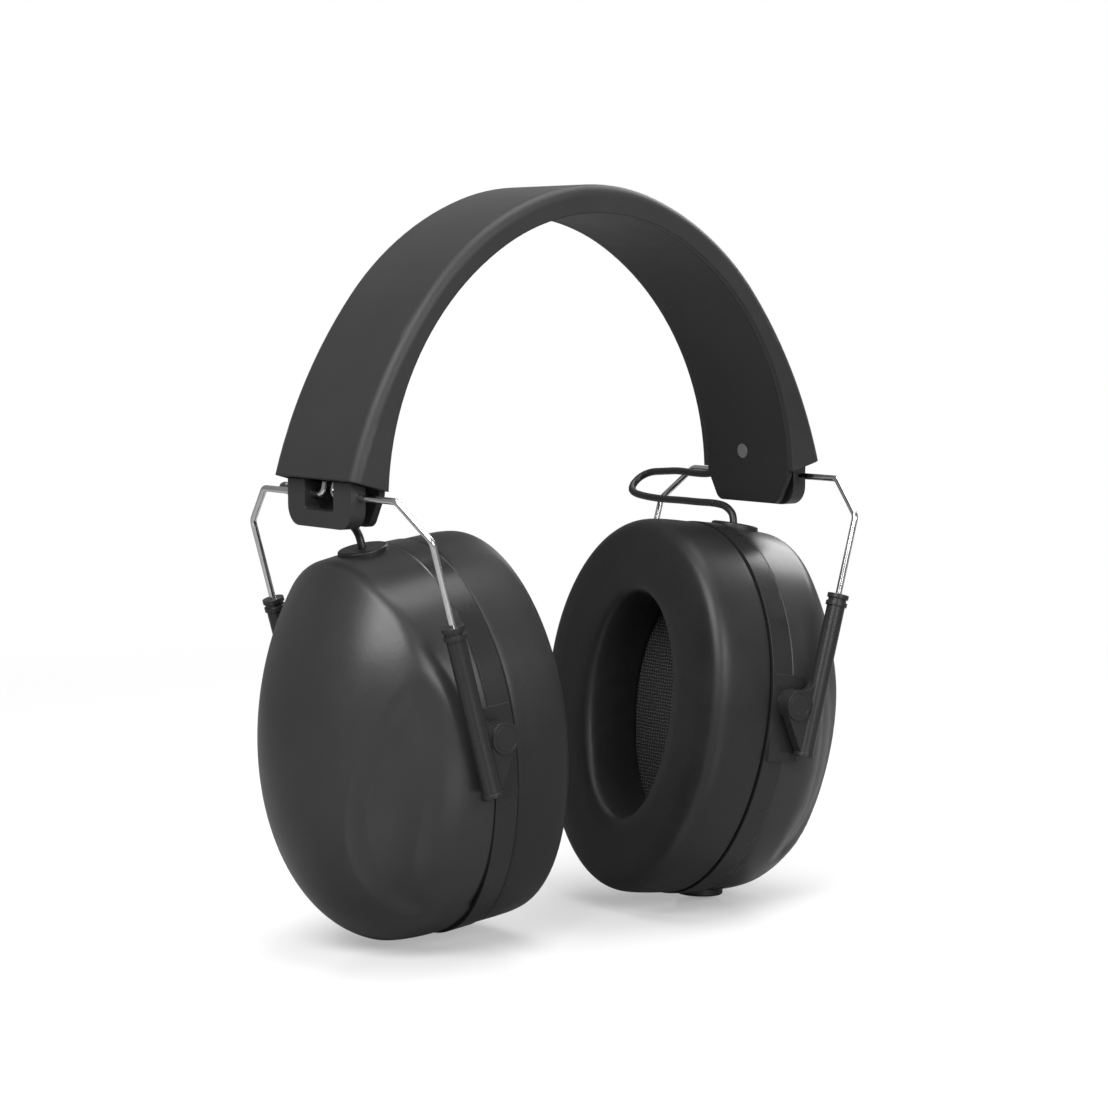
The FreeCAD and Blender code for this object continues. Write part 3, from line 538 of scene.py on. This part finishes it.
def shell_surface(inset, rows, count, detail):
    """Rings of points in cup axes from the rim to the top of the dome, with the crescents if detail is set."""
    falls = np.linspace(math.pi / 2, 0.012, rows)
    directions = np.zeros((rows, count, 3))
    for index in range(count):
        y, up = egg_point(2 * math.pi * index / count, CUP_HALF_WIDTH, CUP_HALF_HEIGHT, CUP_WIDEST_RISE)
        flat = Vector((y, up - CUP_WIDEST_RISE)).normalized()
        directions[:, index, 0] = np.cos(falls)
        directions[:, index, 1] = np.sin(falls) * flat.x
        directions[:, index, 2] = np.sin(falls) * flat.y
    wall = wall_reach(directions, inset)
    dome = dome_reach(directions, inset)
    reach = smooth_least(wall, dome, 2 * RIDGE_ROUND)
    centre = np.array([RING_DEPTH, 0, CUP_WIDEST_RISE])
    if detail:
        point = centre + directions * reach[..., None]
        reach = reach - crescent_depth(point, wall - dome)
    return centre + directions * reach[..., None]


def build_shell(name, side, material, body):
    """The cup's hollow outer shell with a crescent pressed into each flank."""
    outer = shell_surface(0, 120, 256, True)
    inner = shell_surface(SHELL_WALL, 24, 256, False)
    rings = np.concatenate([inner[::-1], outer])
    matrix = cup_matrix(side)
    mesh = lofted_mesh(name, [[matrix @ Vector(point) for point in ring] for ring in rings])
    return new_object(name, mesh, material, body)


def nurbs_line(points):
    """Points along the smooth spline that has these as its control points."""
    curve = bpy.data.curves.new("route", "CURVE")
    curve.dimensions = "3D"
    curve.resolution_u = 10
    spline = curve.splines.new("NURBS")
    spline.points.add(len(points) - 1)
    for target, point in zip(spline.points, points):
        target.co = (*(Vector(point) * MM), 1)
    spline.order_u = 3
    spline.use_endpoint_u = True
    holder = bpy.data.objects.new("route", curve)
    line = bpy.data.meshes.new_from_object(holder)
    found = [vertex.co.copy() for vertex in line.vertices]
    bpy.data.objects.remove(holder)
    return found


def tube_mesh(name, line, radius, sides=20):
    """A round tube along a line of points, carried along without twist."""
    neighbours = zip([line[0]] + line, line[1:] + [line[-1]])
    tangents = [(after - before).normalized() for before, after in neighbours]
    across = tangents[0].orthogonal().normalized()
    rings = []
    for point, tangent in zip(line, tangents):
        across = (across - tangent * across.dot(tangent)).normalized()
        beside = tangent.cross(across)
        turns = [2 * math.pi * index / sides for index in range(sides)]
        rings.append([point + (across * math.cos(t) + beside * math.sin(t)) * radius for t in turns])
    return lofted_mesh(name, rings)


def build_lead(side_name, material):
    """The link lead on one side, in three runs cut where it turns back and where it drops to the grommet."""
    side = SIDES[side_name]
    route = LEAD_LEAVES + LEAD_LOOPS[side_name] + LEAD_ENTERS
    line = nurbs_line([(side * x, y, z) for x, y, z in route])
    places = (*LEAD_TURNS[side_name], LEAD_BAND_END)
    turn, drop, band_end = [Vector((side * x, y, z)) * MM for x, y, z in places]
    first = min(range(len(line)), key=lambda index: (line[index] - turn).length)
    second = min(range(len(line)), key=lambda index: (line[index] - drop).length)
    runs = {
        "band": (line[: first + 1], "headband", "yoke"),
        "loop": (line[first : second + 1], "yoke", "sliders"),
        "drop": (line[second:], "sliders", "cup"),
    }
    pieces = []
    for label, (points, near, far) in runs.items():
        name = f"lead_{label}_{side_name}"
        piece = new_object(name, tube_mesh(name, points, LEAD_DIAMETER / 2 * MM), material, None)
        near = near if near == "headband" else f"{near}_{side_name}"
        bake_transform(piece)
        pieces.append(piece)
    return pieces


def build_ear_cloth(name, side, material, body):
    """Knit stretched over the inside of the cup, bulging a little at its middle."""
    matrix = cup_matrix(side)
    rings = []
    for share in (1.0, 0.9, 0.75, 0.6, 0.45, 0.3, 0.15, 0.02):
        out = KNIT_EDGE_OUT - KNIT_BULGE * (1 - share**2)
        rings.append(egg_ring(out, KNIT_HALF_WIDTH * share, KNIT_HALF_HEIGHT * share, CUP_WIDEST_RISE * share))
    back = [[point + Vector((KNIT_THICKNESS, 0, 0)) for point in ring] for ring in reversed(rings)]
    mesh = lofted_mesh(name, [[matrix @ point for point in ring] for ring in back[:-1] + rings])
    return new_object(name, mesh, material, body)


def subdivide(piece):
    modifier = piece.modifiers.new("smooth", "SUBSURF")
    modifier.levels = 1
    modifier.render_levels = 1


def main():
    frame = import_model()
    stage()
    camera()
    materials = make_materials()
    dress_nodes(frame, materials)
    for side_name, side in SIDES.items():
        cup = f"cup_{side_name}"
        shell = build_shell(f"shell_{side_name}", side, materials["shell"], cup)
        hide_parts(f"cup_shell_{side_name}")
        cushion = build_cushion(f"ear_cushion_{side_name}", side, materials["cushion"], cup)
        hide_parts(f"cushion_{side_name}")
        cloth = build_ear_cloth(f"ear_knit_{side_name}", side, materials["knit"], cup)
        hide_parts(f"ear_cloth_{side_name}")
        foam_rings = [egg_ring(out, CUP_HALF_WIDTH - inset, CUP_HALF_HEIGHT - inset, CUP_WIDEST_RISE)
                      for out, inset in EAR_FOAM]
        foam = build_foam(f"ear_foam_pad_{side_name}", foam_rings, side, materials["foam"], cup)
        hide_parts(f"ear_foam_{side_name}")
        lining = build_foam(f"lining_block_{side_name}", lining_rings(), side, materials["foam"], cup)
        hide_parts(f"shell_lining_{side_name}")
        leads = build_lead(side_name, materials["lead"])
        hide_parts(f"link_lead_{side_name}")


def make_materials():
    return {
        "band_cover": soft_touch("band_cover_soft_touch", 0.026),
        "band_liner": soft_touch("band_liner_soft_touch", 0.015),
        "shell": moulded("shell_plastic", 0.03, 0.31, 900, 0.000015),
        "ring": moulded("ring_plastic", 0.02, 0.27, 900, 0.000015),
        "bracket": moulded("bracket_plastic", 0.032, 0.4, 1200, 0.00003),
        "slider": moulded("slider_plastic", 0.02, 0.3, 1000, 0.00002),
        "cushion": leatherette("cushion_leatherette", 0.016),
        "knit": knit("ear_knit", 0.035),
        "wire": drawn_steel("yoke_steel", 0.82, 0.14),
        "strip": drawn_steel("strip_steel", 0.5, 0.35),
        "lead": rubber("lead_sheath", 0.016, 0.4),
        "grommet": rubber("grommet_rubber", 0.014, 0.42),
        "foam": open_foam("damping_foam", 0.1),
        "marker": moulded("marker_plastic", 0.16, 0.5, 1500, 0.00002),
        "inner": moulded("inner_plastic", 0.05, 0.5, 900, 0.00002),
        "driver": drawn_steel("driver_metal", 0.5, 0.4),
    }


NODE_MATERIALS = {
    "headband_cover": "band_cover",
    "headband_liner": "band_liner",
    "side_markers": "marker",
    "spring_strip": "strip",
    "band_lead": "lead",
    "link_lead": "lead",
    "bracket": "bracket",
    "rivets": "strip",
    "yoke_wire": "wire",
    "slider_front": "slider",
    "slider_rear": "slider",
    "cup_ring": "ring",
    "cup_shell": "shell",
    "pivot_pins": "slider",
    "cushion": "cushion",
    "cushion_retainer": "inner",
    "ear_cloth": "knit",
    "ear_foam": "foam",
    "shell_lining": "foam",
    "baffle": "inner",
    "baffle_screws": "strip",
    "sounder": "driver",
    "top_grommet": "grommet",
    "inlet_gland": "grommet",
}


def dress_nodes(frame, materials):
    for name, node in frame["nodes"].items():
        base = name.removesuffix("_left").removesuffix("_right")
        node.data.materials.clear()
        node.data.materials.append(materials[NODE_MATERIALS[base]])


# Stage

def stage():
    """A pale floor that stays white to the camera, a white surround and soft lamps."""
    world = bpy.data.worlds.new("studio")
    bpy.context.scene.world = world
    world.use_nodes = True
    tree = world.node_tree
    background = tree.nodes["Background"]
    paths = tree.nodes.new("ShaderNodeLightPath")
    seen = tree.nodes.new("ShaderNodeMath")
    seen.operation = "MAXIMUM"
    tree.links.new(paths.outputs["Is Camera Ray"], seen.inputs[0])
    tree.links.new(paths.outputs["Is Transmission Ray"], seen.inputs[1])
    strength = tree.nodes.new("ShaderNodeMapRange")
    strength.inputs["To Min"].default_value = 0.24
    strength.inputs["To Max"].default_value = 1.0
    tree.links.new(seen.outputs["Value"], strength.inputs["Value"])
    tree.links.new(strength.outputs["Result"], background.inputs["Strength"])
    background.inputs["Color"].default_value = (1, 1, 1, 1)

    mesh = bpy.data.meshes.new("floor")
    corners = [(-1, -1), (1, -1), (1, 1), (-1, 1)]
    mesh.from_pydata([(FLOOR_REACH * x, FLOOR_REACH * y, FLOOR_HEIGHT) for x, y in corners], [], [(0, 1, 2, 3)])
    floor = bpy.data.objects.new("floor", mesh)
    bpy.context.collection.objects.link(floor)
    mesh.materials.append(floor_material())

    lamp("key", (-0.8, -0.4, 0.65), 0.7, 0.7, 13)
    lamp("front", (0.0, -1.2, 0.35), 0.8, 0.5, 8)
    lamp("top", (0.15, 0.0, 0.95), 0.8, 0.8, 8)
    lamp("rim", (0.9, 0.3, 0.55), 0.6, 0.6, 6)


def floor_material():
    """Glossy white that takes the object's shadow near it, and plain white to the camera further out."""
    shader = Shader("floor_white")
    shader.constant(Roughness=0.16)
    output = shader.tree.nodes["Material Output"]
    ray = shader.add("ShaderNodeLightPath").outputs["Is Camera Ray"]
    paleness = shader.maths("ADD", shader.maths("MULTIPLY", ray, 0.5), 0.3)
    shader.link(paleness, shader.surface.inputs["Base Color"])
    lift = shader.add("ShaderNodeEmission")
    shader.link(shader.maths("MULTIPLY", ray, 0.3), lift.inputs["Strength"])
    near = shader.add("ShaderNodeAddShader")
    shader.link(shader.surface.outputs["BSDF"], near.inputs[0])
    shader.link(lift.outputs["Emission"], near.inputs[1])
    plain = shader.add("ShaderNodeEmission")
    distance = shader.add("ShaderNodeVectorMath", operation="LENGTH")
    shader.link(shader.coords, distance.inputs[0])
    edge = shader.add("ShaderNodeMapRange", interpolation_type="SMOOTHSTEP")
    edge.inputs["From Min"].default_value = 0.3
    edge.inputs["From Max"].default_value = 0.75
    shader.link(distance.outputs["Value"], edge.inputs["Value"])
    both = shader.add("ShaderNodeMixShader")
    shader.link(shader.maths("MULTIPLY", edge.outputs["Result"], ray), both.inputs["Fac"])
    shader.link(near.outputs["Shader"], both.inputs[1])
    shader.link(plain.outputs["Emission"], both.inputs[2])
    shader.link(both.outputs["Shader"], output.inputs["Surface"])
    return shader.material


def lamp(name, place, width, height, watts):
    data = bpy.data.lights.new(name, "AREA")
    data.shape = "RECTANGLE"
    data.size, data.size_y = width, height
    data.energy = watts
    light = bpy.data.objects.new(name, data)
    light.location = place
    aim = Vector((0, 0, -0.1)) - Vector(place)
    light.rotation_euler = aim.to_track_quat("-Z", "Y").to_euler()
    bpy.context.collection.objects.link(light)


def camera():
    data = bpy.data.cameras.new("camera")
    data.lens = 97.47
    data.sensor_width = 36
    view = bpy.data.objects.new("camera", data)
    view.location = (-0.505704, -0.671329, -0.019124)
    view.rotation_euler = (math.radians(90 - 5.154), 0, math.radians(-36.926))
    bpy.context.collection.objects.link(view)
    bpy.context.scene.camera = view


bpy.context.scene.view_settings.view_transform = "Standard"
main()
